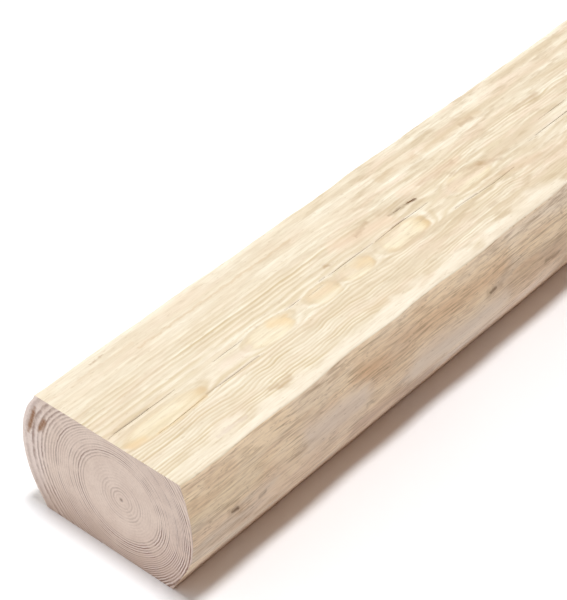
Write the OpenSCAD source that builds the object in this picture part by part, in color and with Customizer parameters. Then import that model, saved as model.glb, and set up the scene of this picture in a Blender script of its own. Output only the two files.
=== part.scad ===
// Landscape timber: a peeled log, sawn flat on two faces and cross-cut square at both ends.
// X runs along the timber from the butt end to the top end, Y across it, and Z up from the lower sawn face.
// The origin is the middle of the lower sawn face. Sizes are in millimetres and angles in degrees.

/* [Timber] */
// Length between the two cross-cut ends
timber_length = 2438; // [600:1:3048]
// Thickness between the two sawn faces
timber_thickness = 76; // [50:1:90]

/* [Log] */
// Diameter of the peeled log at its butt end
log_diameter = 117; // [105:1:150]
// Diameter that the log loses from the butt end to the top end
log_taper = 3; // [0:0.5:12]
// Sideways bow of the log, largest at mid length
log_bow = 4; // [0:0.5:12]
// Fullness of the log along its upper shoulder on the -Y side
shoulder_height = 7.5; // [0:0.5:12]
// Angle of that shoulder round the log, from +Y towards +Z
shoulder_angle = 125; // [110:1:150]
// How far the shoulder spreads to each side, round the log
shoulder_spread = 22; // [12:1:40]
// Fullness of the log along its upper shoulder on the +Y side
far_shoulder_height = 1.1; // [0:0.1:6]
// Angle of that shoulder round the log, from +Y towards +Z
far_shoulder_angle = 32; // [20:1:60]
// How far it spreads to each side, round the log
far_shoulder_spread = 14; // [10:1:40]
// How far the lower flank on the -Y side lies inside the round
flank_depth = 2.6; // [0:0.1:5]
// Angle of that flank round the log, from +Y over +Z
flank_angle = 209; // [195:1:225]
// How far it spreads to each side, round the log
flank_spread = 11; // [9:1:30]

/* [Waves in the peeled surface] */
// Depth of the short waves
short_wave_depth = 0.6; // [0:0.05:2]
// Length of one short wave
short_wave_length = 69; // [60:1:160]
// Depth of the long waves
long_wave_depth = 0.55; // [0:0.05:3]
// Length of one long wave
long_wave_length = 195; // [120:1:600]

/* [Branch whorls] */
// Distance from the butt end to the first whorl of branches
first_whorl = 575; // [100:1:900]
// Distance from one whorl to the next
whorl_spacing = 410; // [200:1:800]
// Branches in each whorl
whorl_branches = 4; // [2:1:6]
// Height of the swelling round a branch
swelling_height = 2.2; // [0:0.1:5]
// Reach of a swelling along the log
swelling_length = 42; // [25:1:90]
// Reach of a swelling round the log
swelling_spread = 20; // [10:1:40]

/* [Hidden] */

// Angles round the log at which its waves are deepest: the two upper edges and the two lower ones.
wave_angles = [143, 38, 218, -38];
// How deep the waves run at each of those angles, as a share of the full depth.
wave_shares = [1, 0.4, 0.15, 0.6];
// Distance from the butt end to the first crest of the short and of the long waves.
short_wave_start = 22;
long_wave_start = 57;
// The crests at each next angle come this much further along the log.
wave_lag = 23;

// From one whorl to the next the branches turn round the log by this angle.
whorl_turn = 37;
whorl_count = max(0, 1 + floor((timber_length - first_whorl) / whorl_spacing));

// The rings of points that describe the sawn log, and the steps of each ring up one of its round sides.
ring_gap = 11.5;
ring_count = ceil(timber_length / ring_gap) + 1;
side_steps = 9;
ring_size = 2 * (side_steps + 1);
// The log reaches past both ends, for the cross-cuts.
cross_cut_waste = 4;
// Halvings of the angle when a saw cut's edge is looked for.
edge_halvings = 24;

// The smaller angle between two directions, from -180 to 180.
function turn(a, b) = let (d = a - b) d - 360 * round(d / 360);

// A smooth hump that is 1 at its middle and fades to 0 about two spreads away.
function hump(distance, spread) = exp(-0.5 * pow(distance / spread, 2));

// What the log's section has beyond a plain round: two full shoulders and a flatter lower flank.
function shoulders(a) =
    shoulder_height * hump(turn(a, shoulder_angle), shoulder_spread) +
    far_shoulder_height * hump(turn(a, far_shoulder_angle), far_shoulder_spread);
function flank(a) = flank_depth * hump(turn(a, flank_angle), flank_spread);

// One train of waves along the log, strongest at its own angle and gone a quarter turn away.
function wave_train(x, a, i) = wave_shares[i] * pow(max(0, cos(turn(a, wave_angles[i]))), 2) * (
    short_wave_depth * cos(360 * (x - short_wave_start - wave_lag * i) / short_wave_length) +
    long_wave_depth * cos(360 * (x - long_wave_start - wave_lag * i) / long_wave_length)
);

function waves(x, a, i = 0) =
    i < len(wave_angles) ? wave_train(x, a, i) + waves(x, a, i + 1) : 0;

function whorl_place(w) = first_whorl + whorl_spacing * w;
function branch_angle(w, b) = whorl_turn * (w + 1) + 360 * b / whorl_branches;

// The branches' swellings: the largest of them counts, so that neighbours run into each other.
function swelling(x, a) = whorl_count == 0 ? 0 : swelling_height * max([
    for (w = [0 : whorl_count - 1]) hump(x - whorl_place(w), swelling_length) * max([
        for (b = [0 : whorl_branches - 1]) hump(turn(a, branch_angle(w, b)), swelling_spread)
    ])
]);

// Radius of the peeled log at a distance x from the butt end, in the direction a.
function log_radius(x, a) =
    (log_diameter - log_taper * x / timber_length) / 2 + shoulders(a) - flank(a) + waves(x, a) + swelling(x, a);

// Sideways place of the log's axis.
function axis_y(x) = log_bow * pow(sin(180 * x / timber_length), 2);

// The angle at which the saw leaves the log: where its surface, followed from the middle of a side
// towards a sawn face, comes level with that face.
function sawn_edge(x, side, face, halvings = edge_halvings) = let (middle = (side + face) / 2)
    halvings <= 0 ? middle :
    abs(log_radius(x, middle) * sin(middle)) < timber_thickness / 2
        ? sawn_edge(x, middle, face, halvings - 1)
        : sawn_edge(x, side, middle, halvings - 1);

// One round side of the sawn log, from the edge of one sawn face to that of the other.
// The faces are given by their direction and the level of their cut.
function round_side(x, side, from_face, from_level, to_face, to_level) =
    let (start = sawn_edge(x, side, from_face), end = sawn_edge(x, side, to_face)) [
        for (i = [0 : side_steps])
            let (a = start + (end - start) * i / side_steps, r = log_radius(x, a))
            let (z = i == 0 ? from_level : i == side_steps ? to_level : r * sin(a))
            [x, axis_y(x) + r * cos(a), z]
    ];

lower_level = -timber_thickness / 2;
upper_level = timber_thickness / 2;

function sawn_ring(x) = concat(
    round_side(x, 0, -90, lower_level, 90, upper_level),
    round_side(x, 180, 90, upper_level, 270, lower_level)
);

function ring_place(i) =
    -cross_cut_waste + (timber_length + 2 * cross_cut_waste) * i / (ring_count - 1);

sawn_rings = [for (i = [0 : ring_count - 1]) sawn_ring(ring_place(i))];

// The timber's width, for setting it in the middle.
ring_ys = [for (ring = sawn_rings) for (p = ring) p[1]];
middle_y = (max(ring_ys) + min(ring_ys)) / 2;

// The peeled log with its two flat faces sawn, lying along X with its butt end at x = 0 and its axis at z = 0.
module sawn_log() {
    butt_centre = ring_count * ring_size;
    top_centre = butt_centre + 1;
    last = (ring_count - 1) * ring_size;
    points = concat(
        [for (ring = sawn_rings) each ring],
        [[ring_place(0), 0, 0], [ring_place(ring_count - 1), 0, 0]]
    );
    walls = [
        for (i = [0 : ring_count - 2]) for (j = [0 : ring_size - 1])
            let (k = (j + 1) % ring_size, low = i * ring_size, high = low + ring_size)
            each [[low + j, high + j, low + k], [low + k, high + j, high + k]]
    ];
    ends = [
        for (j = [0 : ring_size - 1]) let (k = (j + 1) % ring_size)
            each [[butt_centre, j, k], [top_centre, last + k, last + j]]
    ];
    polyhedron(points, concat(walls, ends), convexity = 4);
}

// The room between the two cross-cuts, wider and higher than any log.
module between_cross_cuts() {
    room = 2 * log_diameter;
    translate([0, -room / 2, -room / 2])
        cube([timber_length, room, room]);
}

module timber() {
    color("wheat")
        translate([-timber_length / 2, -middle_y, timber_thickness / 2])
            intersection() {
                sawn_log();
                between_cross_cuts();
            }
}

timber();
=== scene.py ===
import math
import random

import bpy
import numpy as np
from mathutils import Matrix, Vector
from mathutils.bvhtree import BVHTree
from mathutils.noise import noise


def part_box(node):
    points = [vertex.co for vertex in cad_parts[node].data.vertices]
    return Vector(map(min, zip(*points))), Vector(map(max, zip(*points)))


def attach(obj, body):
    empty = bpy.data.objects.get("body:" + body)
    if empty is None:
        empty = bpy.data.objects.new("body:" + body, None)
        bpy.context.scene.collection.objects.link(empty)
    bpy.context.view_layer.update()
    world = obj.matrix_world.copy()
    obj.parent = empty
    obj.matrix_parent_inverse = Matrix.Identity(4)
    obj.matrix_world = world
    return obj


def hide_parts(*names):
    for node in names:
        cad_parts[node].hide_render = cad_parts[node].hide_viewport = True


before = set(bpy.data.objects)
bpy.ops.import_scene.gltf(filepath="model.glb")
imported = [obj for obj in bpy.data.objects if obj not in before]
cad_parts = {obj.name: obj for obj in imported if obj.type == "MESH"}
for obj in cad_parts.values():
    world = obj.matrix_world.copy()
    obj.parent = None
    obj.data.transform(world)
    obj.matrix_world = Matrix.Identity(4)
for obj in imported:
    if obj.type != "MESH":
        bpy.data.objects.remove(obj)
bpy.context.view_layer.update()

# A landscape timber: a peeled softwood log, sawn flat above and below and cross-cut at both ends.
# The mesh is read off the solid, given its relief and split by its drying checks.
# Places on the timber are in millimetres: x from the butt end, y from the middle, z from the floor.

MM = 0.001
timber_low, timber_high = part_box("timber")
BUTT = timber_low.x
LENGTH = (timber_high.x - timber_low.x) / MM
THICKNESS = (timber_high.z - timber_low.z) / MM

# The log: the middle of its round section and its mean radius.
LOG_Y = -1.9
LOG_Z = 38.0
LOG_RADIUS = 58.5

# The pith lies off the middle, and rises and falls along the log.
PITH_Y = -12.5
PITH_Z = 40.6
PITH_RISE = 5.0
PITH_RISE_LENGTH = 1900.0

# How many growth rings lie inside each share of the log's radius: the last ones are the widest.
RING_COUNT = 34.0
RINGS_INSIDE = [(0.0, 0.0), (0.5, 16.2), (0.86, 31.2), (1.0, RING_COUNT)]
# Away from the ends they curl by up to this many rings.
RING_CURL = 2.4
# The rounds in which the age of the wood at a point is found.
AGE_ROUNDS = 4

# The whorls of branches, whose knots lie in the log's swellings.
FIRST_WHORL = 575.0
WHORL_SPACING = 410.0
WHORL_TURN = 37.0
WHORL_BRANCHES = 4
# A knot's least and largest radius, as shares of the way from the log's middle to its surface.
KNOT_SIZES = (0.09, 0.15)
# Along the timber, distances count this much in the swirl of the grain round a knot.
KNOT_SWIRL_SHARE = 0.42

# The photo's camera, fitted to the timber's edges: its place, heading, downward tilt and lens.
CAMERA_PLACE = (-495.8, -542.5, 753.3)
CAMERA_HEADING = 40.65
CAMERA_TILT = 39.13
FOCAL_PIXELS = 2069.3
IMAGE_HEIGHT = 600
SENSOR = 36.0


# Reading the round sides off the solid

# The mesh has its sections close together where the photo looks, and wider apart beyond.
FINE_LENGTH = 480.0
FINE_STEP = 2.2
COARSE_STEP = 10.0
# How far the first sections lie from an end. The column beside a sawn edge lies as far off as the second.
EASED = (0.0, 0.4, 1.0)
# The columns of a section on each face, and half the angle that a round side spans.
SIDE_COLUMNS = 46
TOP_COLUMNS = 64
BOTTOM_COLUMNS = 34
SIDE_SPREAD = 41.0
# About how wide a sawn face is.
SAWN_WIDTH = 95.0
# The step at which the solid is read, how far inside its faces, and how the readings are smoothed:
# along the timber in millimetres, and up the side in columns.
READING_STEP = 4.0
JUST_INSIDE = 0.02
READING_BLUR = 5.0
COLUMN_BLUR = 2.0


def side_heights():
    """Heights of the columns up a round side, about evenly spaced round the log, closer at both edges."""
    turn = math.radians(SIDE_SPREAD)
    angles = np.linspace(-turn, turn, SIDE_COLUMNS + 1)
    heights = THICKNESS / 2 * (1 + np.sin(angles) / math.sin(turn))
    heights[1], heights[-2] = EASED[1], THICKNESS - EASED[1]
    return heights


def across_columns(count):
    """Shares of the way across a sawn face, evenly spaced but closer at both edges."""
    shares = np.linspace(0, 1, count + 1)
    edge = EASED[1] / SAWN_WIDTH
    shares[1], shares[-2] = edge, 1 - edge
    return shares


def blurred(values, spread, axis):
    """values smoothed along one axis, with their ends held in place."""
    reach = int(3 * spread) + 1
    steps = np.arange(-reach, reach + 1)
    weights = np.exp(-0.5 * (steps / spread) ** 2)
    weights /= weights.sum()
    padding = [(0, 0), (0, 0)]
    padding[axis] = (reach, reach)
    padded = np.pad(values, padding, mode="reflect", reflect_type="odd")
    return np.apply_along_axis(np.convolve, axis, padded, weights, mode="valid")


def read_side(solid, places, heights, way):
    """The y of the solid's surface on one side, at each place along it and each height."""
    found = np.zeros((len(places), len(heights)))
    far = 3 * LOG_RADIUS
    for i, x in enumerate(places):
        x = min(max(x, JUST_INSIDE), LENGTH - JUST_INSIDE)
        for k, z in enumerate(heights):
            z = min(max(z, JUST_INSIDE), THICKNESS - JUST_INSIDE)
            start = Vector((BUTT + x * MM, way * far * MM, z * MM))
            hit = solid.ray_cast(start, Vector((0, -way, 0)))[0]
            found[i, k] = hit.y / MM
    found = blurred(found, READING_BLUR / READING_STEP, 0)
    return blurred(found, COLUMN_BLUR, 1)


def stations():
    """Places of the mesh's sections along the timber: close where the photo looks, wider beyond."""
    fine = np.arange(FINE_STEP, FINE_LENGTH, FINE_STEP)
    coarse = np.linspace(FINE_LENGTH, LENGTH - 2 * FINE_STEP, int((LENGTH - FINE_LENGTH) / COARSE_STEP))
    ends = np.array(EASED)
    return np.concatenate([ends, fine, coarse, LENGTH - ends[::-1]])


def solid_sides(places, heights):
    """The two round sides of the solid at these places: its +Y side and its -Y side."""
    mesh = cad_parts["timber"].data
    solid = BVHTree.FromPolygons([v.co for v in mesh.vertices], [p.vertices for p in mesh.polygons])
    readings = np.linspace(0, LENGTH, int(LENGTH / READING_STEP) + 1)
    sides = []
    for way in (1, -1):
        read = read_side(solid, readings, heights, way)
        columns = [np.interp(places, readings, read[:, k]) for k in range(len(heights))]
        sides.append(np.stack(columns, 1))
    return sides


# Relief of the surfaces

def wave(x, across, long, wide, seed):
    """Smooth random relief from -1 to 1, drawn out along the grain."""
    return noise(Vector((x / long, across / wide, seed)))


def peeled_relief(x, arc):
    """Ridges and hollows that the peeling leaves on the round sides."""
    ridges = 0.22 * wave(x, arc, 110, 6.5, 3.1) + 0.12 * wave(x, arc, 45, 3.4, 9.2)
    return ridges + 0.3 * wave(x, arc, 70, 32, 5.7)


def sawn_relief(x, across):
    """The saw's slight unevenness on the flat faces."""
    return 0.06 * wave(x, across, 60, 7, 21.3) + 0.05 * wave(x, across, 9, 60, 27.9)


def edge_relief(x, seed):
    """Small waves and nicks along a sawn edge."""
    return 0.3 * wave(x, 0, 17, 1, seed) + 0.22 * wave(x, 0, 6, 1, seed + 5)


def cross_cut_relief(y, z):
    """The cross-cut saw's slight unevenness on the ends."""
    return 0.1 * wave(y + 0.4 * z, z - 0.4 * y, 50, 5, 33.3)


# The timber's mesh

# How far the sawn edges are rounded, and how wavy the lower ones are beside the upper ones.
EDGE_ROUNDING = 0.14
LOWER_EDGE_SHARE = 0.4
# The upper face lies this much lower, so that its unevenness stays inside the solid.
SAW_DEPTH = 0.1
# The +Y side has the relief from this much further round, so that the sides differ.
OTHER_SIDE = 200
# The rings of points on an end, as shares of the way from its middle to its rim.
END_RINGS = (0.993, 0.98, 0.94, 0.87, 0.78, 0.68, 0.56, 0.43, 0.3, 0.17)

# The finishes, as numbered in the mesh.
SAWN, PEELED, CROSS_CUT, CHECKED = range(4)


def section_columns(heights, plus_y, minus_y, x):
    """One closed section of the timber: top, -Y side, bottom and +Y side, with its relief."""
    top_shares = across_columns(TOP_COLUMNS)
    bottom_shares = across_columns(BOTTOM_COLUMNS)
    points = []
    arc = heights - LOG_Z
    left = plus_y + np.array([peeled_relief(x, a + OTHER_SIDE) for a in arc])
    right = minus_y - np.array([peeled_relief(x, a) for a in arc])
    edge = len(EASED)
    left[-edge:] += edge_relief(x, 41.0)
    right[-edge:] -= edge_relief(x, 47.0)
    left[:edge] += LOWER_EDGE_SHARE * edge_relief(x, 53.0)
    right[:edge] -= LOWER_EDGE_SHARE * edge_relief(x, 59.0)
    for share in top_shares:
        y = left[-1] + share * (right[-1] - left[-1])
        points.append((y, THICKNESS + sawn_relief(x, y) - SAW_DEPTH))
    points += zip(right[-2:0:-1], heights[-2:0:-1])
    for share in bottom_shares:
        y = right[0] + share * (left[0] - right[0])
        points.append((y, 0.0))
    points += zip(left[1:-1], heights[1:-1])
    section = np.array(points)
    middle = np.array((LOG_Y, LOG_Z))
    corners = corner_columns()
    inward = middle - section[corners]
    section[corners] += EDGE_ROUNDING * inward / np.linalg.norm(inward, axis=1)[:, None]
    section[:, 1] = np.clip(section[:, 1], 0.0, THICKNESS)
    return section


def corner_columns():
    """The columns of the four sawn edges."""
    after_side = TOP_COLUMNS + SIDE_COLUMNS
    return [0, TOP_COLUMNS, after_side, after_side + BOTTOM_COLUMNS]


def column_finishes():
    """The finish of the strip after each column."""
    side = [SAWN] + [PEELED] * (SIDE_COLUMNS - 2) + [SAWN]
    return [SAWN] * TOP_COLUMNS + side + [SAWN] * BOTTOM_COLUMNS + side


def timber_mesh():
    """The closed mesh of the timber, before its checks are cut."""
    heights = side_heights()
    places = stations()
    plus_y, minus_y = solid_sides(places, heights)
    sections = [section_columns(heights, p, m, x) for p, m, x in zip(plus_y, minus_y, places)]
    width = len(sections[0])
    points = [(x, y, z) for x, section in zip(places, sections) for y, z in section]
    faces = []
    finishes = []
    columns = column_finishes()
    for i in range(len(places) - 1):
        for j in range(width):
            k = (j + 1) % width
            a, b = i * width, (i + 1) * width
            faces.append((a + j, a + k, b + k, b + j))
            finishes.append(columns[j])
    for end, way in ((0, -1), (len(places) - 1, 1)):
        close_end(points, faces, end * width, width, places[end], way)
    finishes += [CROSS_CUT] * (len(faces) - len(finishes))
    return new_mesh("timber_wood", points, faces, finishes)


def new_mesh(name, points, faces, finishes):
    """A mesh from points on the timber, in millimetres, with a finish for each face."""
    mesh = bpy.data.meshes.new(name)
    mesh.from_pydata([(BUTT + x * MM, y * MM, z * MM) for x, y, z in points], [], faces)
    mesh.polygons.foreach_set("material_index", finishes)
    return mesh


def close_end(points, faces, first, width, x, way):
    """Closes one end of the timber with rings of faces that narrow to its middle."""
    rim = [points[first + j] for j in range(width)]
    outer = [first + j for j in range(width)]
    for share in END_RINGS:
        inner = []
        for _, y, z in rim:
            y = LOG_Y + share * (y - LOG_Y)
            z = LOG_Z + share * (z - LOG_Z)
            inner.append(len(points))
            points.append((x - way * abs(cross_cut_relief(y, z)), y, z))
        add_ring(faces, outer, inner, way)
        outer = inner
    middle = len(points)
    points.append((x, LOG_Y, LOG_Z))
    add_ring(faces, outer, [middle] * width, way)


def add_ring(faces, outer, inner, way):
    """Faces between two rings of an end, or between a ring and the end's middle point."""
    width = len(outer)
    for j in range(width):
        k = (j + 1) % width
        corners = [outer[j], outer[k], inner[k], inner[j]]
        if inner[j] == inner[k]:
            corners.pop()
        faces.append(tuple(corners if way > 0 else reversed(corners)))


# Drying checks

# Each check on the upper face: its widest opening, its depth, and its line as (x, y) from the butt end.
UPPER_CHECKS = [
    (0.3, 3.0, [(0.6, -5.6), (5, -4.9), (13, -5.0), (21, -5.2), (30, -5.0), (40, -5.2), (48, -5.1)]),
    (0.24, 2.0, [(76, -5.4), (84, -5.2), (92, -5.3), (98, -5.2)]),
    (0.24, 2.0, [(20, -21.0), (30, -20.9), (41, -20.5), (54, -20.0)]),
    (0.2, 2.0, [(55, -19.4), (65, -19.6), (75, -19.9), (86, -19.8), (97, -20.0)]),
    (0.24, 2.0, [(130, -6.3), (136, -6.4), (143, -6.2)]),
    (0.22, 1.8, [(147, -8.1), (153, -7.9), (160, -7.6)]),
    (0.26, 2.2, [(160, -4.4), (172, -4.9), (188, -4.9), (204, -5.1)]),
    (0.36, 2.6, [(205, -5.6), (214, -5.0), (228, -4.7), (240, -4.9), (252, -5.0)]),
    (0.26, 2.2, [(258, -19.8), (275, -20.6), (291, -21.8), (311, -21.4)]),
    (0.34, 3.0, [(337, -12.8), (355, -12.1), (378, -11.9), (420, -11.2)]),
    (0.3, 2.6, [(358, -4.4), (372, -4.2), (386, -4.3)]),
    (1.5, 1.6, [(242, 3.5), (246.5, 3.1), (250.5, 2.9)]),
    (0.7, 0.9, [(232, 3.6), (235, 3.3), (239, 3.4)]),
]
# Further checks along the rest: how many, their lengths, and how far from the far end the last may start.
FURTHER_CHECKS = 14
CHECK_SEED = 11
CHECK_LENGTHS = (40, 150)
LAST_CHECK = 160
# A check leans towards the log's middle by this share of its depth.
CHECK_LEAN = 0.1
# The wedge that cuts a check stands out of the face by this much.
WEDGE_OUT = 1.0


def further_checks():
    """Checks along the rest of the timber, on both sawn faces, as (face, opening, depth, line)."""
    draw = random.Random(CHECK_SEED)
    checks = []
    for i in range(FURTHER_CHECKS):
        x = FINE_LENGTH + (LENGTH - FINE_LENGTH - LAST_CHECK) * (i + draw.random()) / FURTHER_CHECKS
        y = LOG_Y + draw.uniform(-24, 20)
        length = draw.uniform(*CHECK_LENGTHS)
        line = []
        for step in range(5):
            line.append((x + length * step / 4, y))
            y += draw.uniform(-1.2, 1.2)
        checks.append((i % 2, draw.uniform(0.3, 0.5), draw.uniform(2, 4), line))
    return checks


def add_wedge(points, faces, upper, opening, depth, line):
    """One check's wedge: open at the face, closed to a line below it, pointed at both ends."""
    level, way = (THICKNESS, -1) if upper else (0.0, 1)
    first = len(points)
    last = len(line) - 1
    for i, (x, y) in enumerate(line):
        share = i / last
        half = 0.5 * opening * (0.06 + 0.94 * math.sin(math.pi * share) ** 0.7)
        deep = depth * (0.15 + 0.85 * math.sin(math.pi * share))
        lean = CHECK_LEAN * deep * (1 if y < LOG_Y else -1)
        points.append((x, y + half, level - way * WEDGE_OUT))
        points.append((x, y - half, level - way * WEDGE_OUT))
        points.append((x, y + lean, level + way * deep))
    for i in range(last):
        a = first + 3 * i
        b = a + 3
        for p, q in ((0, 1), (1, 2), (2, 0)):
            face = (a + p, a + q, b + q, b + p)
            faces.append(face if upper else face[::-1])
    end = first + 3 * last
    caps = ((first + 2, first + 1, first), (end, end + 1, end + 2))
    for cap in caps:
        faces.append(cap if upper else cap[::-1])


def check_wedges():
    """The cutter for all drying checks."""
    points = []
    faces = []
    for opening, depth, line in UPPER_CHECKS:
        add_wedge(points, faces, True, opening, depth, line)
    for face, opening, depth, line in further_checks():
        add_wedge(points, faces, face == 0, opening, depth, line)
    return new_mesh("check_wedges", points, faces, [CHECKED] * len(faces))


# Colours

def srgb(red, green, blue):
    """A colour given as it shows on a screen, from 0 to 255, in the shader's linear values."""
    def linear(v):
        v /= 255
        return v / 12.92 if v <= 0.04045 else ((v + 0.055) / 1.055) ** 2.4
    return (linear(red), linear(green), linear(blue), 1.0)


# Marks on all faces
UMBER = srgb(112, 84, 58)
BROWN = srgb(178, 146, 108)
TAN = srgb(214, 190, 154)
ROSE = srgb(240, 214, 188)
AMBER = srgb(238, 204, 146)
SAP_BROWN = srgb(146, 104, 70)

# The sawn faces
CREAM = srgb(249, 243, 224)
BUTTER = srgb(247, 238, 217)
LATEWOOD = srgb(203, 182, 136)
TONGUE_WOOD = srgb(248, 236, 200)
TONGUE_TIP = srgb(241, 219, 172)
TONGUE_EDGE = srgb(212, 182, 132)
BROAD_STREAK = srgb(213, 195, 163)
GREY_STAIN = srgb(224, 208, 182)
RESIN = srgb(236, 214, 192)
SMUDGE = srgb(197, 176, 142)
OUTER_STRIP = srgb(249, 241, 223)
FIBRE = srgb(204, 186, 152)
FUZZ = srgb(210, 192, 162)
SPECK = srgb(190, 168, 134)
KNOT_WOOD = srgb(214, 172, 122)
KNOT_HEART = srgb(178, 132, 84)

# The round sides
SIDE_LOW = srgb(242, 221, 195)
SIDE_HIGH = srgb(253, 234, 202)
SIDE_GREY = srgb(221, 210, 195)
SIDE_RESIN = srgb(222, 187, 150)
SIDE_FIBRE = srgb(172, 146, 114)
SIDE_STREAK = srgb(180, 152, 120)
SIDE_DASH = srgb(172, 144, 114)
SIDE_SPECK = srgb(156, 130, 101)
# A pinkish pale strip along the bottom of the sides, painted in as a highlight
SIDE_PAINTED_HIGHLIGHT = srgb(240, 221, 208)
SIDE_KNOT = srgb(196, 154, 112)
SIDE_KNOT_HEART = srgb(150, 108, 72)

# The ends
END_WOOD = srgb(230, 213, 199)
END_DULL = srgb(224, 206, 192)
END_SAPWOOD = srgb(236, 223, 216)
END_LOWER = srgb(190, 160, 147)
# Painted shade along the bottom of the ends
END_PAINTED_SHADE = srgb(166, 140, 124)
END_EARLYWOOD = srgb(242, 230, 222)
END_LATEWOOD = srgb(146, 117, 104)
END_FUZZ = srgb(170, 146, 130)
END_SPECK = srgb(164, 138, 122)
PITH_BROWN = srgb(112, 86, 72)

# The walls of the checks
CHECK_PALE = srgb(196, 156, 110)
CHECK_DARK = srgb(160, 122, 84)

# Marks on the wood: each a line from start to end, its reach to either side, its strength and its colour.
# Those on the upper face are given by x and y alone.
UPPER_MARKS = [
    ((5, -17.0), (12, -17.8), 4.5, 0.35, AMBER),
    ((20, -20.8), (54, -20.3), 1.9, 0.25, AMBER),
    ((44, -12.5), (55, -15.0), 4.0, 0.2, TAN),
    ((76, -11.5), (94, -12.5), 5.5, 0.4, srgb(236, 218, 200)),
    ((117, -8.5), (124, -11.0), 6.5, 0.4, AMBER),
    ((148, -10.0), (160, -11.5), 5.5, 0.35, srgb(240, 212, 172)),
    ((184, -11.0), (190, -12.0), 5.5, 0.3, AMBER),
    ((60, 30.6), (178, 30.8), 1.5, 0.55, TAN),
    ((35, 40.4), (43, 40.2), 1.1, 0.55, BROWN),
    ((0, 36.0), (60, 35.6), 1.6, 0.3, TAN),
    ((38, -43.6), (58, -44.6), 2.2, 0.55, srgb(214, 196, 178)),
    ((79, -40.0), (84, -41.5), 3.4, 0.4, BROWN),
    ((84, -44.0), (92, -41.0), 3.4, 0.35, BROWN),
    ((42, -37.0), (60, -38.5), 5.0, 0.35, srgb(222, 204, 178)),
    ((156, -37.5), (170, -41.0), 4.5, 0.4, TAN),
    ((188, 8.0), (226, 2.0), 8.0, 0.45, ROSE),
    ((202, 5.5), (216, 9.5), 2.4, 0.4, BROWN),
    ((171, 1.8), (174, 1.2), 2.8, 0.55, BROWN),
    ((226, 9.0), (250, 7.0), 6.0, 0.2, BROWN),
    ((228, 4.0), (250, 3.0), 1.9, 0.5, srgb(150, 124, 90)),
    ((244, 3.0), (250, 2.8), 1.5, 0.8, UMBER),
    ((252, 29.0), (282, 28.5), 5.5, 0.45, TAN),
    ((292, 27.5), (340, 27.0), 4.5, 0.45, TAN),
    ((325, 27.2), (334, 26.8), 3.2, 0.45, BROWN),
    ((250, 11.0), (296, 7.5), 6.0, 0.4, ROSE),
    ((262, 9.5), (292, 8.5), 3.2, 0.3, BROWN),
    ((282, 1.5), (300, -4.5), 3.4, 0.35, BROWN),
    ((300, -4.5), (313, -11.0), 3.4, 0.35, BROWN),
    ((272, -33.0), (278, -34.0), 3.4, 0.5, srgb(204, 184, 156)),
    ((300, -20.5), (330, -24.5), 3.4, 0.4, TAN),
    ((320, -27.0), (344, -29.0), 5.0, 0.45, srgb(214, 194, 166)),
    ((356, 12.0), (380, 13.0), 3.4, 0.35, BROWN),
]
SIDE_MARKS = [
    ((26, -60.5, 43.4), (34, -60.5, 41.8), 4.5, 0.35, BROWN),
    ((28.8, -60.5, 43.0), (30.4, -60.5, 42.6), 2.3, 0.85, UMBER),
    ((48.5, -60.5, 38.0), (50.5, -60.5, 38.0), 2.6, 0.4, UMBER),
    ((134, -60.5, 39.5), (138, -60.5, 38.5), 2.8, 0.4, UMBER),
    ((158.5, -60.5, 33.5), (160.5, -60.5, 33.0), 2.8, 0.4, UMBER),
    ((236, -59.5, 50.4), (248, -59.5, 49.0), 5.0, 0.45, BROWN),
    ((240, -59.5, 50.0), (242.5, -59.5, 49.6), 2.2, 0.8, UMBER),
    ((168, -60.5, 27.5), (174, -60.5, 26.5), 4.5, 0.3, UMBER),
    ((292, -59.5, 40.0), (304, -59.5, 38.0), 3.2, 0.5, UMBER),
    ((48, -58, 24), (64, -58, 25.0), 4.0, 0.35, BROWN),
]
END_STREAKS = [
    ((0, 45.0, 67.6), (0, 51.8, 47.6), 1.8, 0.65, SAP_BROWN),
    ((0, 46.3, 63.5), (0, 50.4, 51.8), 2.8, 0.9, SAP_BROWN),
    ((0, 38.2, 63.2), (0, 44.2, 52.2), 1.8, 0.6, SAP_BROWN),
    ((0, 39.4, 61.0), (0, 42.8, 55.0), 3.0, 0.85, SAP_BROWN),
    ((0, -14.5, 38.4), (0, -20.0, 33.0), 0.8, 0.12, UMBER),
]

# Larger soft patches on the visible side: smooth grey ones, then pinkish, brown and pale ones.
GREY_PATCHES = [
    ((88, -60, 50), (128, -60, 47), 15, 0.85, srgb(239, 225, 208)),
    ((176, -60, 37), (250, -60, 33), 17, 0.8, srgb(239, 226, 208)),
]
SIDE_PATCHES = [
    ((210, -56, 18), (330, -56, 22), 13, 0.7, srgb(230, 212, 200)),
    ((132, -56, 62), (250, -56, 58), 13, 0.55, srgb(218, 178, 136)),
    ((4, -59, 56), (46, -59, 56), 15, 0.6, srgb(236, 222, 190)),
    ((18, -58, 69), (32, -58, 67), 8, 0.5, srgb(222, 184, 142)),
    ((128, -57, 24), (192, -56, 20), 15, 0.75, srgb(190, 164, 150)),
    ((36, -58, 28), (100, -58, 26), 12, 0.5, srgb(206, 176, 152)),
    ((258, -59, 46), (312, -59, 42), 14, 0.6, srgb(206, 176, 142)),
    ((320, -58, 26), (430, -58, 28), 24, 0.8, srgb(184, 154, 120)),
    ((264, -57, 71), (430, -57, 69), 11, 0.55, srgb(250, 242, 226)),
]

# Tongues where the upper face grazes the rings: from x to x, their y, half their width and their strength.
TONGUES = [
    (4, 57, -15.4, 6.4, 0.9),
    (97, 127, -11.8, 7.2, 0.8),
    (144, 165, -12.4, 6.4, 0.6),
    (170, 193, -12.4, 6.6, 0.75),
    (204, 239, -12.8, 8.0, 1.0),
    (270, 303, -7.5, 7.5, 0.8),
]
# Further tongues along the rest, and how far from the far end the last may start.
FURTHER_TONGUES = 7
TONGUE_SEED = 5
LAST_TONGUE = 100
# How many rings a tongue stands above the wood round it.
TONGUE_RISE = 1.3
# How many rings the grain bends round a knot.
KNOT_RISE = 3.0


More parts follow.
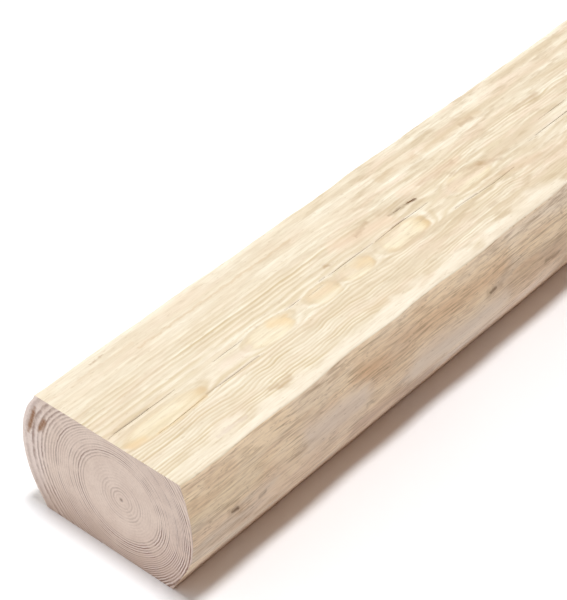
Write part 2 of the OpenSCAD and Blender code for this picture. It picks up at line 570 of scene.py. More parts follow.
def on_upper_face(marks):
    """These marks, given by x and y, at the height of the upper face."""
    return [((*start, THICKNESS), (*end, THICKNESS), *rest) for start, end, *rest in marks]


def all_tongues():
    """The tongues in the photo and those further along the timber."""
    draw = random.Random(TONGUE_SEED)
    tongues = list(TONGUES)
    for i in range(FURTHER_TONGUES):
        x = FINE_LENGTH + (LENGTH - FINE_LENGTH - LAST_TONGUE) * (i + draw.random()) / FURTHER_TONGUES
        end = x + draw.uniform(24, 60)
        y = PITH_Y + draw.uniform(-3, 3)
        tongues.append((x, end, y, draw.uniform(5, 8), 0.7))
    return tongues


# Node trees

class Tree:
    """A node tree, with a short method for each kind of node that the wood needs."""

    def __init__(self, tree):
        self.tree = tree

    def node(self, kind, **settings):
        """A new node of this kind, with these settings."""
        made = self.tree.nodes.new("ShaderNode" + kind)
        for name, value in settings.items():
            setattr(made, name, value)
        return made

    def feed(self, socket, value):
        """Links a value from another node to a socket, or sets a plain one there."""
        if isinstance(value, bpy.types.NodeSocket):
            self.tree.links.new(value, socket)
        else:
            socket.default_value = value

    def math(self, operation, a, b=0.0):
        made = self.node("Math", operation=operation)
        self.feed(made.inputs[0], a)
        self.feed(made.inputs[1], b)
        return made.outputs[0]

    def product(self, *values):
        """All these values multiplied together."""
        total = values[0]
        for value in values[1:]:
            total = self.math("MULTIPLY", total, value)
        return total

    def inverse(self, value):
        """What value leaves of 1."""
        return self.math("SUBTRACT", 1.0, value)

    def vector(self, operation, a, b=(0.0, 0.0, 0.0)):
        made = self.node("VectorMath", operation=operation)
        self.feed(made.inputs[0], a)
        self.feed(made.inputs["Scale" if operation == "SCALE" else 1], b)
        return made.outputs["Value" if operation in ("LENGTH", "DOT_PRODUCT") else "Vector"]

    def split(self, vector):
        """The x, y and z of a vector."""
        made = self.node("SeparateXYZ")
        self.feed(made.inputs[0], vector)
        return made.outputs

    def join(self, x, y, z):
        """The vector with this x, y and z."""
        made = self.node("CombineXYZ")
        for socket, value in zip(made.inputs, (x, y, z)):
            self.feed(socket, value)
        return made.outputs[0]

    def noise(self, place, size, detail=2.0, rough=0.5, offset=0.0, output=0):
        """Noise whose features are about size millimetres long, wide and high; about 0 to 1."""
        scaled = self.vector("MULTIPLY", place, tuple(1 / s for s in size))
        moved = self.vector("ADD", scaled, (offset, offset * 1.7, offset * 0.6))
        made = self.node("TexNoise")
        self.feed(made.inputs["Vector"], moved)
        made.inputs["Scale"].default_value = 1.0
        made.inputs["Detail"].default_value = detail
        made.inputs["Roughness"].default_value = rough
        return made.outputs[output]

    def swing(self, place, size, reach, detail=2.0, offset=0.0):
        """Noise about zero, up to reach either way."""
        centred = self.math("SUBTRACT", self.noise(place, size, detail, 0.5, offset), 0.5)
        return self.math("MULTIPLY", centred, 2 * reach)

    def chance(self, value):
        """A random number from 0 to 1 for each whole value."""
        made = self.node("TexWhiteNoise", noise_dimensions="1D")
        self.feed(made.inputs["W"], value)
        return made.outputs["Value"]

    def step(self, value, low, high, start=0.0, end=1.0):
        """A smooth step from start to end as value goes from low to high."""
        made = self.node("MapRange", interpolation_type="SMOOTHSTEP")
        for socket, v in zip(made.inputs, (value, low, high, start, end)):
            self.feed(socket, v)
        return made.outputs[0]

    def ridge(self, value, start, top, end):
        """0 up to start, rising to 1 at top and back to 0 at end."""
        return self.product(self.step(value, start, top), self.step(value, top, end, 1.0, 0.0))

    def curve(self, value, points):
        """The smooth curve through these points at value. Both run from 0 to 1."""
        made = self.node("FloatCurve")
        line = made.mapping.curves[0]
        line.points[0].location = points[0]
        line.points[1].location = points[-1]
        for point in points[1:-1]:
            line.points.new(*point)
        for point in line.points:
            point.handle_type = "AUTO"
        made.mapping.update()
        self.feed(made.inputs["Value"], value)
        return made.outputs[0]

    def near(self, place, start, end, reach):
        """1 along the line from start to end, falling to 0 at a distance of reach."""
        along = Vector(end) - Vector(start)
        offset = self.vector("SUBTRACT", place, tuple(start))
        share = self.vector("DOT_PRODUCT", offset, tuple(along / along.length_squared))
        clamped = self.math("MINIMUM", self.math("MAXIMUM", share, 0.0), 1.0)
        nearest = self.vector("SCALE", tuple(along), clamped)
        distance = self.vector("LENGTH", self.vector("SUBTRACT", offset, nearest))
        return self.step(distance, 0.0, reach, 1.0, 0.0)

    def mix(self, share, a, b):
        """Colour a, with this share of colour b."""
        made = self.node("Mix", data_type="RGBA")
        self.feed(made.inputs["Factor"], share)
        for socket, colour in zip((made.inputs[6], made.inputs[7]), (a, b)):
            self.feed(socket, colour)
        return made.outputs[2]

    def layers(self, colour, layers):
        """colour with these layers over it, one after the other, each given by its mask and its shade."""
        for mask, shade in layers:
            colour = self.mix(mask, colour, shade)
        return colour

    def marked(self, colour, place, marks, share=1.0):
        """colour with these marks laid over it, one after the other."""
        for start, end, reach, strength, shade in marks:
            spot = self.product(self.near(place, start, end, reach), share, strength)
            colour = self.mix(spot, colour, shade)
        return colour

    def put(self, group, **inputs):
        """A shared node group placed in this tree, and its outputs."""
        made = self.tree.nodes.new("ShaderNodeGroup")
        made.node_tree = group
        for name, value in inputs.items():
            self.feed(made.inputs[name], value)
        return made.outputs


def node_group(name, inputs, outputs):
    """An empty node group with these sockets, given as name and kind, and its two end nodes' sockets."""
    group = bpy.data.node_groups.new(name, "ShaderNodeTree")
    for label, kind in inputs:
        group.interface.new_socket(label, in_out="INPUT", socket_type="NodeSocket" + kind)
    for label, kind in outputs:
        group.interface.new_socket(label, in_out="OUTPUT", socket_type="NodeSocket" + kind)
    tree = Tree(group)
    start = group.nodes.new("NodeGroupInput")
    end = group.nodes.new("NodeGroupOutput")
    return tree, start.outputs, end.inputs


def timber_place_group():
    """Where a point lies on the timber, in millimetres from the butt end, the middle and the floor,
    and the same place shaken a little or more, for marks with uneven or ragged edges."""
    outputs = [("Place", "Vector"), ("Uneven", "Vector"), ("Ragged", "Vector")]
    tree, _, end = node_group("place on the timber", [], outputs)
    found = tree.node("TexCoord").outputs["Object"]
    moved = tree.vector("SUBTRACT", found, (BUTT, 0.0, 0.0))
    place = tree.vector("SCALE", moved, 1 / MM)
    shake = tree.noise(place, (5, 4, 4), 2.0, 0.5, 67.0, "Color")
    shake = tree.vector("MULTIPLY", tree.vector("SUBTRACT", shake, (0.5, 0.5, 0.5)), (10, 3.5, 3.5))
    tree.feed(end["Place"], place)
    tree.feed(end["Uneven"], tree.vector("ADD", place, tree.vector("SCALE", shake, 0.35)))
    tree.feed(end["Ragged"], tree.vector("ADD", place, shake))
    return tree.tree


def growth_ring_group():
    """Growth rings round the pith: a sharp latewood line and a soft band for each ring, from 0 to 1,
    the ring's own tone, the distance from the pith and the wood's age from pith to bark."""
    outputs = [("Line", "Float"), ("Band", "Float"), ("Tone", "Float"), ("Pith", "Float"), ("Age", "Float")]
    tree, start, end = node_group("growth rings", [("Place", "Vector"), ("Rise", "Float")], outputs)
    place = start["Place"]
    x, y, z = tree.split(place)
    # The rings sway most on the -Y side, least on the +Y side near the butt end, and not at all at the ends.
    wavy = tree.step(y, PITH_Y + 2, PITH_Y - 14, tree.step(x, 100, 260, 1.0, 3.4), 4.6)
    inside = tree.step(tree.math("MINIMUM", x, tree.math("SUBTRACT", LENGTH, x)), 2, 40)
    wavy = tree.math("MULTIPLY", wavy, inside)
    curl = tree.product(tree.swing(place, (64, 15, 15), RING_CURL, 1.0, 19.0), tree.step(x, 130, 280), inside)
    sway = tree.swing(place, (34, 26, 26), 1.0)
    lift = tree.product(tree.swing(place, (90, 30, 30), 1.0, 1.0, 7.3), tree.step(x, 2, 300, 0.2, 1.0))
    rise = tree.math("SINE", tree.math("MULTIPLY", x, 2 * math.pi / PITH_RISE_LENGTH))
    rise = tree.product(rise, tree.step(x, 300, 900), PITH_RISE)
    pith_z = tree.math("ADD", rise, PITH_Z)
    from_y = tree.math("ADD", tree.math("SUBTRACT", y, PITH_Y), tree.math("MULTIPLY", sway, wavy))
    from_z = tree.math("ADD", tree.math("SUBTRACT", z, pith_z), lift)
    from_pith = tree.join(0.0, from_y, from_z)
    # With age the rings' middle moves from the pith to the log's middle, so the age is found in rounds.
    to_middle = tree.join(0.0, LOG_Y - PITH_Y, tree.math("SUBTRACT", LOG_Z, pith_z))
    reach = tree.vector("LENGTH", from_pith)
    age = tree.math("MULTIPLY", reach, 1 / LOG_RADIUS)
    for _ in range(AGE_ROUNDS):
        shift = tree.vector("SCALE", to_middle, tree.math("POWER", age, 3.0))
        offset = tree.vector("SUBTRACT", from_pith, shift)
        age = tree.math("MULTIPLY", tree.vector("LENGTH", offset), 1 / LOG_RADIUS)
    count = tree.curve(age, [(t, n / RING_COUNT) for t, n in RINGS_INSIDE])
    count = tree.math("MULTIPLY", count, RING_COUNT)
    count = tree.math("ADD", count, tree.swing(place, (14, 3, 3), 0.22, 2.0, 15.1))
    count = tree.math("ADD", count, tree.math("SUBTRACT", curl, start["Rise"]))
    part = tree.math("FRACT", count)
    tree.feed(end["Line"], tree.ridge(part, 0.15, 0.75, 1.0))
    tree.feed(end["Band"], tree.ridge(part, 0.0, 0.62, 1.0))
    tree.feed(end["Tone"], tree.chance(tree.math("FLOOR", count)))
    tree.feed(end["Pith"], reach)
    tree.feed(end["Age"], age)
    return tree.tree


def ring_tongue_group():
    """One blunt tongue of a ring that the saw grazed: how far it lifts the rings, its outline, its fill and
    its warm tip, from 0 to 1."""
    inputs = [("Place", "Vector"), ("Centre", "Vector"), ("Share", "Vector"), ("Strength", "Float")]
    outputs = [("Rise", "Float"), ("Outline", "Float"), ("Fill", "Float"), ("Tip", "Float")]
    tree, start, end = node_group("ring tongue", inputs, outputs)
    offset = tree.vector("SUBTRACT", start["Place"], start["Centre"])
    scaled = tree.vector("MULTIPLY", offset, start["Share"])
    blunt = tree.vector("LENGTH", tree.vector("MULTIPLY", scaled, scaled))
    oval = tree.vector("DOT_PRODUCT", scaled, scaled)
    reach = tree.product(tree.math("ADD", blunt, oval), 0.5)
    fill = tree.step(reach, 0.75, 1.15, 1.0, 0.0)
    tip = tree.step(tree.split(scaled)[0], 0.1, 0.95)
    edge = tree.product(tree.ridge(reach, 0.5, 1.0, 1.35), tree.step(tip, 0.0, 1.0, 0.55, 1.0))
    tree.feed(end["Rise"], tree.product(tree.step(reach, 0.2, 2.6, 1.0, 0.0), start["Strength"]))
    tree.feed(end["Outline"], tree.product(edge, start["Strength"]))
    tree.feed(end["Fill"], tree.product(fill, start["Strength"]))
    tree.feed(end["Tip"], tree.product(fill, tip, start["Strength"]))
    return tree.tree


def wood_fibre_group():
    """The wood's fibres: fine dashes, broader streaks, soft patches and the saw's fuzz."""
    outputs = [("Fine", "Float"), ("Streak", "Float"), ("Patch", "Float"), ("Fuzz", "Float")]
    tree, start, end = node_group("wood fibre", [("Place", "Vector")], outputs)
    place = start["Place"]
    tree.feed(end["Fine"], tree.noise(place, (24, 1.0, 1.0), 2.0, 0.55, 3.0))
    tree.feed(end["Streak"], tree.noise(place, (40, 2.2, 2.2), 3.0, 0.55, 11.0))
    tree.feed(end["Patch"], tree.noise(place, (34, 9, 9), 2.0, 0.5, 23.0))
    tree.feed(end["Fuzz"], tree.noise(place, (9, 1.3, 1.3), 2.0, 0.55, 79.0))
    return tree.tree


def weathering_group():
    """Storage marks: grey stain, warm resin, brown smudges and small dark specks."""
    outputs = [("Grey", "Float"), ("Warm", "Float"), ("Smudge", "Float"), ("Speck", "Float")]
    tree, start, end = node_group("weathering", [("Place", "Vector")], outputs)
    place = start["Place"]
    tree.feed(end["Grey"], tree.step(tree.noise(place, (60, 16, 16), 3.0, 0.55, 31.0), 0.46, 0.66))
    tree.feed(end["Warm"], tree.step(tree.noise(place, (42, 10, 10), 3.0, 0.55, 43.0), 0.5, 0.7))
    tree.feed(end["Smudge"], tree.step(tree.noise(place, (24, 4.5, 4.5), 3.0, 0.6, 57.0), 0.48, 0.7))
    tree.feed(end["Speck"], tree.step(tree.noise(place, (4.5, 1.2, 1.2), 2.0, 0.55, 71.0), 0.6, 0.74))
    return tree.tree


def branch_knot_group():
    """Knots of the branches: 1 inside a knot and 0 outside, the share of the way from its heart to its rim,
    and the swirl of the grain round it."""
    outputs = [("Knot", "Float"), ("Rim", "Float"), ("Swirl", "Float")]
    tree, start, end = node_group("branch knots", [("Place", "Vector")], outputs)
    place = start["Place"]
    x, y, z = tree.split(place)
    aside = tree.math("SUBTRACT", y, LOG_Y)
    above = tree.math("SUBTRACT", z, LOG_Z)
    out = tree.vector("LENGTH", tree.join(0.0, aside, above))
    whorl = tree.math("ROUND", tree.math("DIVIDE", tree.math("SUBTRACT", x, FIRST_WHORL), WHORL_SPACING))
    whorl = tree.math("MAXIMUM", whorl, 0.0)
    middle = tree.math("ADD", tree.math("MULTIPLY", whorl, WHORL_SPACING), FIRST_WHORL)
    along = tree.math("SUBTRACT", x, middle)
    first = tree.math("MULTIPLY", tree.math("ADD", whorl, 1.0), math.radians(WHORL_TURN))
    angle = tree.math("SUBTRACT", tree.math("ARCTAN2", above, aside), first)
    gap = 2 * math.pi / WHORL_BRANCHES
    turns = tree.math("DIVIDE", angle, gap)
    nearest = tree.math("ROUND", turns)
    round_log = tree.math("SINE", tree.math("MULTIPLY", tree.math("SUBTRACT", turns, nearest), gap))
    across = tree.math("MULTIPLY", round_log, out)
    distance = tree.vector("LENGTH", tree.join(along, across, 0.0))
    swirl = tree.vector("LENGTH", tree.join(tree.math("MULTIPLY", along, KNOT_SWIRL_SHARE), across, 0.0))
    distance = tree.math("ADD", distance, tree.swing(place, (9, 9, 9), 1.2, 2.0, 37.0))
    chance = tree.chance(tree.math("ADD", tree.math("MULTIPLY", whorl, 9.0), nearest))
    radius = tree.math("MULTIPLY", out, tree.step(chance, 0.0, 1.0, *KNOT_SIZES))
    rim = tree.math("DIVIDE", distance, radius)
    tree.feed(end["Swirl"], tree.step(tree.math("DIVIDE", swirl, radius), 0.5, 2.6, 1.0, 0.0))
    tree.feed(end["Knot"], tree.step(rim, 0.9, 1.15, 1.0, 0.0))
    tree.feed(end["Rim"], rim)
    return tree.tree


def new_finish(name, roughness):
    """A new material with its shader, and its node tree."""
    material = bpy.data.materials.new(name)
    material.use_nodes = True
    shader = material.node_tree.nodes["Principled BSDF"]
    shader.inputs["Roughness"].default_value = roughness
    shader.inputs["Specular IOR Level"].default_value = 0.25
    return material, Tree(material.node_tree), shader


def bump(tree, shader, height, distance, strength):
    """Gives a shader fine relief, up to distance millimetres high."""
    made = tree.node("Bump")
    made.inputs["Strength"].default_value = strength
    made.inputs["Distance"].default_value = distance * MM
    tree.feed(made.inputs["Height"], height)
    tree.feed(shader.inputs["Normal"], made.outputs["Normal"])


def knotted(tree, colour, knots, wood, heart):
    """colour with the branches' knots in it: knot wood in rings, and a dark rim."""
    colour = tree.mix(tree.product(knots["Swirl"], 0.4), colour, heart)
    rings = tree.math("SINE", tree.math("MULTIPLY", knots["Rim"], 19.0))
    knot = tree.mix(tree.step(rings, -1.0, 1.0, 0.0, 0.5), wood, heart)
    knot = tree.mix(tree.step(knots["Rim"], 0.75, 0.98, 0.0, 0.6), knot, UMBER)
    return tree.mix(tree.product(knots["Knot"], 0.85), colour, knot)


# How clear the growth lines are along the sawn faces: clearest at the butt end.
CLEAR_LINES = [(0.0, 0.95), (0.05, 0.95), (0.1, 0.75), (0.19, 0.8), (0.32, 0.8), (1.0, 0.8)]


def sawn_face_material(groups):
    """The two flat sawn faces: cream wood with olive growth lines, blunt tongues and a pale outer strip."""
    material, tree, shader = new_finish("sawn face", 0.62)
    here = tree.put(groups["place"])
    place, uneven, ragged = here["Place"], here["Uneven"], here["Ragged"]
    fibre = tree.put(groups["fibre"], Place=place)
    stains = tree.put(groups["weathering"], Place=place)
    knots = tree.put(groups["knots"], Place=place)
    x, y, z = tree.split(place)
    upper = tree.step(z, 60, 70)

    # The tongues and the knots lift the rings round them.
    tongues = []
    rise = 0.0
    for start, end, middle, half, strength in all_tongues():
        centre = ((start + end) / 2, middle, THICKNESS)
        share = (2 / (end - start), 1 / half, 0.0)
        tongue = tree.put(groups["tongue"], Place=uneven, Centre=centre, Share=share, Strength=strength)
        rise = tree.math("MAXIMUM", rise, tongue["Rise"])
        tongues.append(tongue)
    rise = tree.math("ADD", tree.product(rise, upper, TONGUE_RISE), tree.product(knots["Swirl"], KNOT_RISE))
    rings = tree.put(groups["rings"], Place=place, Rise=rise)

    # Growth lines fade on the +Y side and in the outer strip along the -Y edge.
    # Smudges and broad streaks grow along the timber.
    outer = tree.step(tree.math("ADD", y, tree.swing(place, (26, 12, 12), 16.0, 2.0, 61.0)), -41, -49)
    outer = tree.product(outer, tree.step(x, 10, 60, 0.3, 1.0))
    clear = tree.curve(tree.math("DIVIDE", x, LENGTH), CLEAR_LINES)
    inner = tree.step(y, 26, 14, 0.25, 1.0)
    broken = tree.step(fibre["Patch"], 0.34, 0.56, 0.6, 1.0)
    tone = tree.step(rings["Tone"], 0.0, 1.0, 0.5, 1.0)
    late = tree.product(rings["Band"], clear, inner, broken, tone, tree.step(outer, 0.0, 1.0, 1.0, 0.2))
    patchy = tree.step(fibre["Patch"], 0.35, 0.6, 0.4, 1.0)
    broad = tree.step(tree.noise(place, (90, 6.5, 6.5), 3.0, 0.55, 97.0), 0.41, 0.63)
    smudged = tree.step(x, 110, 300, 0.42, 1.0)

    colour = tree.mix(tree.step(fibre["Patch"], 0.36, 0.66), CREAM, BUTTER)
    colour = tree.mix(late, colour, LATEWOOD)
    for tongue in tongues:
        colour = tree.layers(colour, [
            (tree.product(tongue["Fill"], upper, 0.5), TONGUE_WOOD),
            (tree.product(tongue["Tip"], upper, patchy, 0.45), TONGUE_TIP),
            (tree.product(tongue["Outline"], upper, patchy, 0.7), TONGUE_EDGE),
        ])
    colour = tree.layers(colour, [
        (tree.product(broad, tree.step(x, 100, 280, 0.3, 0.72)), BROAD_STREAK),
        (tree.product(stains["Grey"], smudged, 0.5), GREY_STAIN),
        (tree.product(stains["Warm"], smudged, 0.5), RESIN),
        (tree.product(stains["Smudge"], smudged, 0.6), SMUDGE),
        (tree.product(outer, 0.6), OUTER_STRIP),
        (tree.step(fibre["Fine"], 0.45, 0.75, 0.0, 0.25), FIBRE),
        (tree.step(fibre["Fuzz"], 0.35, 0.75, 0.0, 0.25), FUZZ),
        (tree.product(stains["Speck"], 0.3), SPECK),
    ])
    colour = tree.marked(colour, ragged, on_upper_face(UPPER_MARKS))
    colour = knotted(tree, colour, knots, KNOT_WOOD, KNOT_HEART)
    tree.feed(shader.inputs["Base Color"], colour)
    bump(tree, shader, tree.math("ADD", fibre["Streak"], fibre["Fine"]), 0.12, 0.5)
    return material


def peeled_side_material(groups):
    """The two round sides: mottled tan wood with fine fibres, grey low down and browner near the top."""
    material, tree, shader = new_finish("peeled side", 0.72)
    here = tree.put(groups["place"])
    place, ragged = here["Place"], here["Ragged"]
    fibre = tree.put(groups["fibre"], Place=place)
    stains = tree.put(groups["weathering"], Place=place)
    knots = tree.put(groups["knots"], Place=place)
    _, _, z = tree.split(place)
    upper = tree.step(tree.math("ADD", z, tree.swing(place, (34, 14, 14), 24.0, 2.0, 13.0)), 30, 62)

    # The grey patches are smooth: fibres and dashes show less there.
    smooth = 0.0
    for start, end, reach, _, _ in GREY_PATCHES:
        smooth = tree.math("MAXIMUM", smooth, tree.near(ragged, start, end, reach))
    rough = tree.step(smooth, 0.2, 0.8, 1.0, 0.3)
    patchy = tree.step(fibre["Patch"], 0.34, 0.6, 0.3, 0.66)
    fibres = tree.product(tree.step(fibre["Fine"], 0.46, 0.7), patchy, rough)
    dashes = tree.product(tree.step(fibre["Fuzz"], 0.42, 0.72, 0.0, 0.3), rough)

    colour = tree.layers(tree.mix(upper, SIDE_LOW, SIDE_HIGH), [
        (tree.product(stains["Grey"], tree.step(upper, 0.0, 1.0, 0.75, 0.35)), SIDE_GREY),
        (tree.product(stains["Warm"], tree.step(upper, 0.0, 1.0, 0.2, 0.45)), SIDE_RESIN),
    ])
    colour = tree.marked(colour, ragged, SIDE_PATCHES, tree.step(fibre["Patch"], 0.3, 0.6, 0.45, 1.0))
    colour = tree.marked(colour, ragged, GREY_PATCHES)
    colour = tree.layers(colour, [
        (fibres, SIDE_FIBRE),
        (tree.step(fibre["Streak"], 0.54, 0.75, 0.0, 0.25), SIDE_STREAK),
        (dashes, SIDE_DASH),
        (tree.product(stains["Speck"], 0.4), SIDE_SPECK),
        # A painted highlight: a pinkish pale strip along the bottom edge of the side.
        (tree.step(z, 1.0, 6.0, 0.5, 0.0), SIDE_PAINTED_HIGHLIGHT),
    ])
    colour = tree.marked(colour, ragged, SIDE_MARKS)
    colour = knotted(tree, colour, knots, SIDE_KNOT, SIDE_KNOT_HEART)
    tree.feed(shader.inputs["Base Color"], colour)
    bump(tree, shader, tree.math("ADD", fibre["Streak"], fibre["Fine"]), 0.3, 0.5)
    return material


# How clear the growth rings are on the ends, from the pith to the bark: there is a smooth zone between.
CLEAR_RINGS = [
    (0.0, 0.3), (0.2, 0.4), (0.28, 0.15), (0.4, 0.15), (0.48, 0.9), (0.56, 0.7), (0.72, 1.0), (1.0, 1.0),
]


def cross_cut_material(groups):
    """The two cross-cut ends: pinkish beige end grain with fine rings, the pith and two sap streaks."""
    material, tree, shader = new_finish("cross cut end", 0.75)
    place = tree.put(groups["place"])["Place"]
    rings = tree.put(groups["rings"], Place=place)
    fibre = tree.put(groups["fibre"], Place=place)
    stains = tree.put(groups["weathering"], Place=place)
    _, y, z = tree.split(place)

    # The rings are strongest and the end is darker low down on the -Y side. Shade along its bottom edge is
    # painted in as well.
    lower_right = tree.math("ADD", y, z)
    strong = tree.curve(rings["Age"], CLEAR_RINGS)
    clouds = tree.step(tree.noise(place, (9, 10, 10), 3.0, 0.55, 17.0), 0.34, 0.6, 0.3, 1.05)
    tone = tree.step(rings["Tone"], 0.0, 1.0, 0.35, 1.1)
    strength = tree.product(strong, clouds, tone, tree.step(lower_right, 30, -40, 0.95, 1.8))
    late = tree.math("MINIMUM", tree.product(rings["Line"], strength, 0.9), 1.0)
    pale = tree.math("MINIMUM", tree.product(tree.inverse(rings["Line"]), strength, 0.45), 1.0)
    # Painted shade along the bottom of the end, a little stronger on the +Y side.
    painted_bottom_shade = tree.math("ADD", z, tree.swing(place, (9, 12, 12), 6.0, 2.0, 29.0))
    painted_bottom_shade = tree.product(tree.step(painted_bottom_shade, 30, 2), tree.step(y, -8, 8, 0.45, 0.62))

    colour = tree.mix(tree.step(fibre["Patch"], 0.35, 0.65), END_WOOD, END_DULL)
    colour = tree.layers(colour, [
        (tree.step(y, 37, 47, 0.0, 0.7), END_SAPWOOD),
        (tree.step(lower_right, 8, -38, 0.0, 0.48), END_LOWER),
        (painted_bottom_shade, END_PAINTED_SHADE),
        (pale, END_EARLYWOOD),
        (late, END_LATEWOOD),
        (tree.step(fibre["Fuzz"], 0.32, 0.75, 0.0, 0.15), END_FUZZ),
        (tree.product(stains["Speck"], 0.25), END_SPECK),
    ])
    colour = tree.marked(colour, place, END_STREAKS, tree.step(fibre["Fuzz"], 0.3, 0.6, 0.7, 1.0))
    colour = tree.mix(tree.step(rings["Pith"], 0.4, 1.6, 0.65, 0.0), colour, PITH_BROWN)
    tree.feed(shader.inputs["Base Color"], colour)
    bump(tree, shader, tree.math("ADD", late, fibre["Fine"]), 0.1, 0.4)
    return material


def check_wall_material(groups):
    """The walls of the drying checks: bare wood, darker than the faces."""
    material, tree, shader = new_finish("check wall", 0.8)
    place = tree.put(groups["place"])["Place"]
    fibre = tree.put(groups["fibre"], Place=place)
    tree.feed(shader.inputs["Base Color"], tree.mix(fibre["Streak"], CHECK_PALE, CHECK_DARK))
    return material


# Putting the timber together

def add_object(name, data):
    """A new object in the scene, with this mesh, lamp or camera."""
    made = bpy.data.objects.new(name, data)
    bpy.context.scene.collection.objects.link(made)
    return made


def cut_checks(timber, cutter):
    """Takes the wedges out of the timber's mesh for good."""
    cut = timber.modifiers.new("checks", "BOOLEAN")
    cut.operation = "DIFFERENCE"
    cut.solver = "MANIFOLD"
    cut.object = cutter
    seen = timber.evaluated_get(bpy.context.evaluated_depsgraph_get())
    finished = bpy.data.meshes.new_from_object(seen)
    timber.modifiers.clear()
    timber.data = finished
    bpy.data.objects.remove(cutter)


# The flat map for baked pictures

# The long faces lie in the map in stretches. Each has its end along the timber and, in the map's pixels,
# the heights of its upper face, -Y side, lower face and +Y side. The two ends and the check walls come next.
MAP_NAME = "OFBake"
MAP_SIZE = 1024.0
MAP_GAP = 2.5
MAP_STRETCHES = [(520.0, (160, 130, 45, 70)), (1480.0, (65, 55, 40, 50)), (LENGTH, (65, 55, 40, 50))]
MAP_ENDS = [(200, 130), (150, 98)]
MAP_CHECK = (34, 6)
# A face counts as part of a flat where its normal points up or down by more than this.
FACE_TILT = 0.85


def read_all(items, name, width, kind=np.float32):
    """One property of all vertices, corners or faces of a mesh."""
    values = np.zeros(len(items) * width, kind)
    items.foreach_get(name, values)
    return values.reshape(-1, width) if width > 1 else values


def check_numbers(middles):
    lines = [(True, line) for _, _, line in UPPER_CHECKS]
    lines += [(face == 0, line) for face, _, _, line in further_checks()]
    distances = []
    for upper, line in lines:
        xs, ys = np.array(line).T
        beyond = np.maximum(0, np.maximum(xs[0] - middles[:, 0], middles[:, 0] - xs[-1]))
        aside = np.abs(middles[:, 1] - np.interp(middles[:, 0], xs, ys))
        other = (middles[:, 2] > LOG_Z) != upper
        distances.append(beyond + aside + LENGTH * other)
    return np.argmin(distances, 0)


def unfold(timber):
    """Lays the timber's surfaces out flat in a UV map."""
    mesh = timber.data
    shift = np.array((BUTT, 0, 0))
    sizes = read_all(mesh.polygons, "loop_total", 1, np.int32)
    face_of = np.repeat(np.arange(len(sizes)), sizes)
    corners = read_all(mesh.vertices, "co", 3)[read_all(mesh.loops, "vertex_index", 1, np.int32)]
    x, y, z = ((corners - shift) / MM).T
    middles = (read_all(mesh.polygons, "center", 3) - shift) / MM
    normals = read_all(mesh.polygons, "normal", 3)
    finish = read_all(mesh.polygons, "material_index", 1, np.int32)
    flat = np.zeros((len(x), 2), np.float32)

    def lay(faces, along, across, left, low, width, height):
        """Fills one box of the map with these faces, stretched to its size."""
        chosen = faces[face_of]
        for column, values, start, size in ((0, along, left, width), (1, across, low, height)):
            part = values[chosen]
            if len(part):
                share = (part - part.min()) / max(np.ptp(part), 1e-6)
                flat[chosen, column] = (start + size * share) / MAP_SIZE

    side = np.where(middles[:, 1] < LOG_Y, 1, 3)
    kind = np.where(normals[:, 2] > FACE_TILT, 0, np.where(normals[:, 2] < -FACE_TILT, 2, side))
    kind[(finish == CROSS_CUT) | (finish == CHECKED)] = -1
    turn = np.arctan2(z - LOG_Z, np.abs(y - LOG_Y))
    low = MAP_GAP
    start = 0.0
    for stop, heights in MAP_STRETCHES:
        within = (middles[:, 0] >= start) & (middles[:, 0] < stop)
        for i, height in enumerate(heights):
            lay(within & (kind == i), x, turn if i % 2 else y, MAP_GAP, low, MAP_SIZE - 2 * MAP_GAP, height)
            low += height + MAP_GAP
        start = stop
    far = middles[:, 0] > LENGTH / 2
    left = MAP_GAP
    for at_far, (width, height) in enumerate(MAP_ENDS):
        lay((finish == CROSS_CUT) & (far == at_far), y, z, left, low, width, height)
        left += width + MAP_GAP
    numbers = check_numbers(middles)
    first = left
    for number in range(len(UPPER_CHECKS) + FURTHER_CHECKS):
        for facing in (True, False):
            wall = (finish == CHECKED) & (numbers == number) & ((normals[:, 1] > 0) == facing)
            lay(wall, x, z, left, low, *MAP_CHECK)
            left += MAP_CHECK[0] + MAP_GAP
            if left + MAP_CHECK[0] > MAP_SIZE:
                left = first
                low += MAP_CHECK[1] + MAP_GAP
    layer = mesh.uv_layers.new(name=MAP_NAME)
    layer.data.foreach_set("uv", flat.ravel())


def make_timber():
    """The timber with its relief, checks, finishes and flat map."""
    groups = {
        "place": timber_place_group(),
        "rings": growth_ring_group(),
        "tongue": ring_tongue_group(),
        "fibre": wood_fibre_group(),
        "weathering": weathering_group(),
        "knots": branch_knot_group(),
    }
    finishes = [
        sawn_face_material(groups),
        peeled_side_material(groups),
        cross_cut_material(groups),
        check_wall_material(groups),
    ]
    timber = add_object("timber_body", timber_mesh())
    cutter = add_object("check_wedges", check_wedges())
    for piece in (timber, cutter):
        for finish in finishes:
            piece.data.materials.append(finish)
    cut_checks(timber, cutter)
    smooth = [p.material_index != CHECKED for p in timber.data.polygons]
    timber.data.polygons.foreach_set("use_smooth", smooth)
    unfold(timber)
    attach(timber, "root")
    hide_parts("timber")


# Floor, light and camera

FLOOR_HALF = 40.0
FLOOR_COLOUR = (0.965, 0.978, 1.0, 1.0)

# How the sky looks to the camera.
WHITE = (1.0, 1.0, 1.0, 1.0)
# The light of the sky overhead, and of the lower sky on the -Y side and on the +Y side.
# SKY_RISE gives the heights between which the lower sky goes over into the upper one.
SKY_TOP = (0.5, 0.5, 0.5, 1.0)
SKY_RIGHT = (0.16, 0.082, 0.052, 1.0)
SKY_LEFT = (0.7, 0.72, 0.74, 1.0)
SKY_RISE = (0.9, 1.0)
# The low sky before the butt end: its colour and the way to its middle.
SKY_FRONT = (1.5, 1.5, 1.5, 1.0)
FRONT = (-0.9, 0.43, 0.0)

# The soft lamp overhead: its share of the light, its spread and the way it shines.
LAMP_SHARE = 0.71
LAMP_SPREAD = 12
LAMP_WAY = (-0.06, 0.007, -1.0)


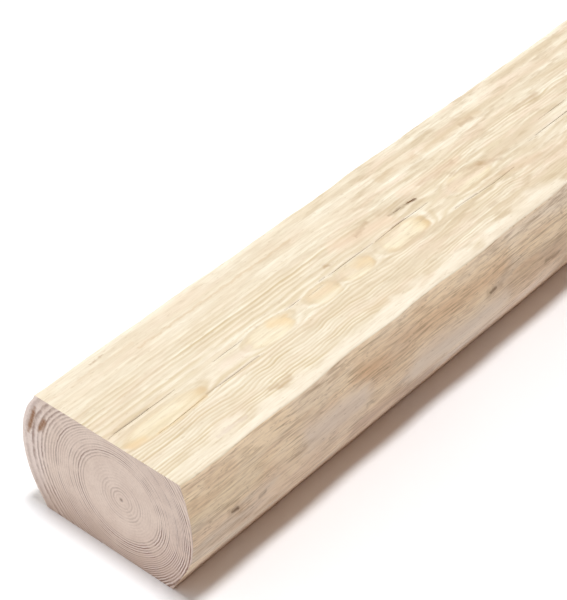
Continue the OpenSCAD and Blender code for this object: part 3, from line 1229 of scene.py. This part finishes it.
def make_floor():
    """The plain pale floor."""
    mesh = bpy.data.meshes.new("floor")
    h = FLOOR_HALF
    mesh.from_pydata([(-h, -h, 0), (h, -h, 0), (h, h, 0), (-h, h, 0)], [], [(0, 1, 2, 3)])
    floor = add_object("floor", mesh)
    material = bpy.data.materials.new("pale floor")
    material.use_nodes = True
    shader = material.node_tree.nodes["Principled BSDF"]
    shader.inputs["Base Color"].default_value = FLOOR_COLOUR
    shader.inputs["Roughness"].default_value = 0.9
    shader.inputs["Specular IOR Level"].default_value = 0.0
    mesh.materials.append(material)


def make_lights():
    """The lamp and the sky. The sky looks plain white, and lights the timber with its own colours."""
    light = bpy.data.lights.new("lamp", "SUN")
    light.energy = LAMP_SHARE * math.pi
    light.angle = math.radians(LAMP_SPREAD)
    lamp = add_object("lamp", light)
    lamp.rotation_euler = Vector(LAMP_WAY).to_track_quat("-Z", "Y").to_euler()
    world = bpy.data.worlds.new("sky")
    bpy.context.scene.world = world
    world.use_nodes = True
    tree = Tree(world.node_tree)
    sky = world.node_tree.nodes["Background"]
    path = tree.node("LightPath").outputs
    seen = tree.math("MAXIMUM", path["Is Camera Ray"], path["Is Glossy Ray"])
    seen = tree.math("MAXIMUM", seen, path["Is Transmission Ray"])
    way = tree.node("TexCoord").outputs["Generated"]
    _, aside, up = tree.split(way)
    low = tree.mix(tree.step(aside, -0.1, 0.3), SKY_RIGHT, SKY_LEFT)
    front = tree.step(tree.vector("DOT_PRODUCT", way, FRONT), 0.5, 0.85)
    low = tree.mix(tree.product(front, tree.step(up, 0.5, 0.2)), low, SKY_FRONT)
    glow = tree.mix(tree.step(up, *SKY_RISE), low, SKY_TOP)
    tree.feed(sky.inputs["Color"], tree.mix(seen, glow, WHITE))


def make_camera():
    """The camera at the photo's viewing angle."""
    data = bpy.data.cameras.new("camera")
    data.sensor_width = SENSOR
    data.lens = FOCAL_PIXELS * SENSOR / IMAGE_HEIGHT
    camera = add_object("camera", data)
    x, y, z = CAMERA_PLACE
    camera.location = (BUTT + x * MM, y * MM, z * MM)
    heading = math.radians(CAMERA_HEADING)
    tilt = math.radians(CAMERA_TILT)
    look = Vector((math.cos(heading) * math.cos(tilt), math.sin(heading) * math.cos(tilt), -math.sin(tilt)))
    camera.rotation_euler = look.to_track_quat("-Z", "Y").to_euler()
    bpy.context.scene.camera = camera


make_camera()
make_timber()
make_floor()
make_lights()
bpy.context.scene.view_settings.view_transform = "Standard"
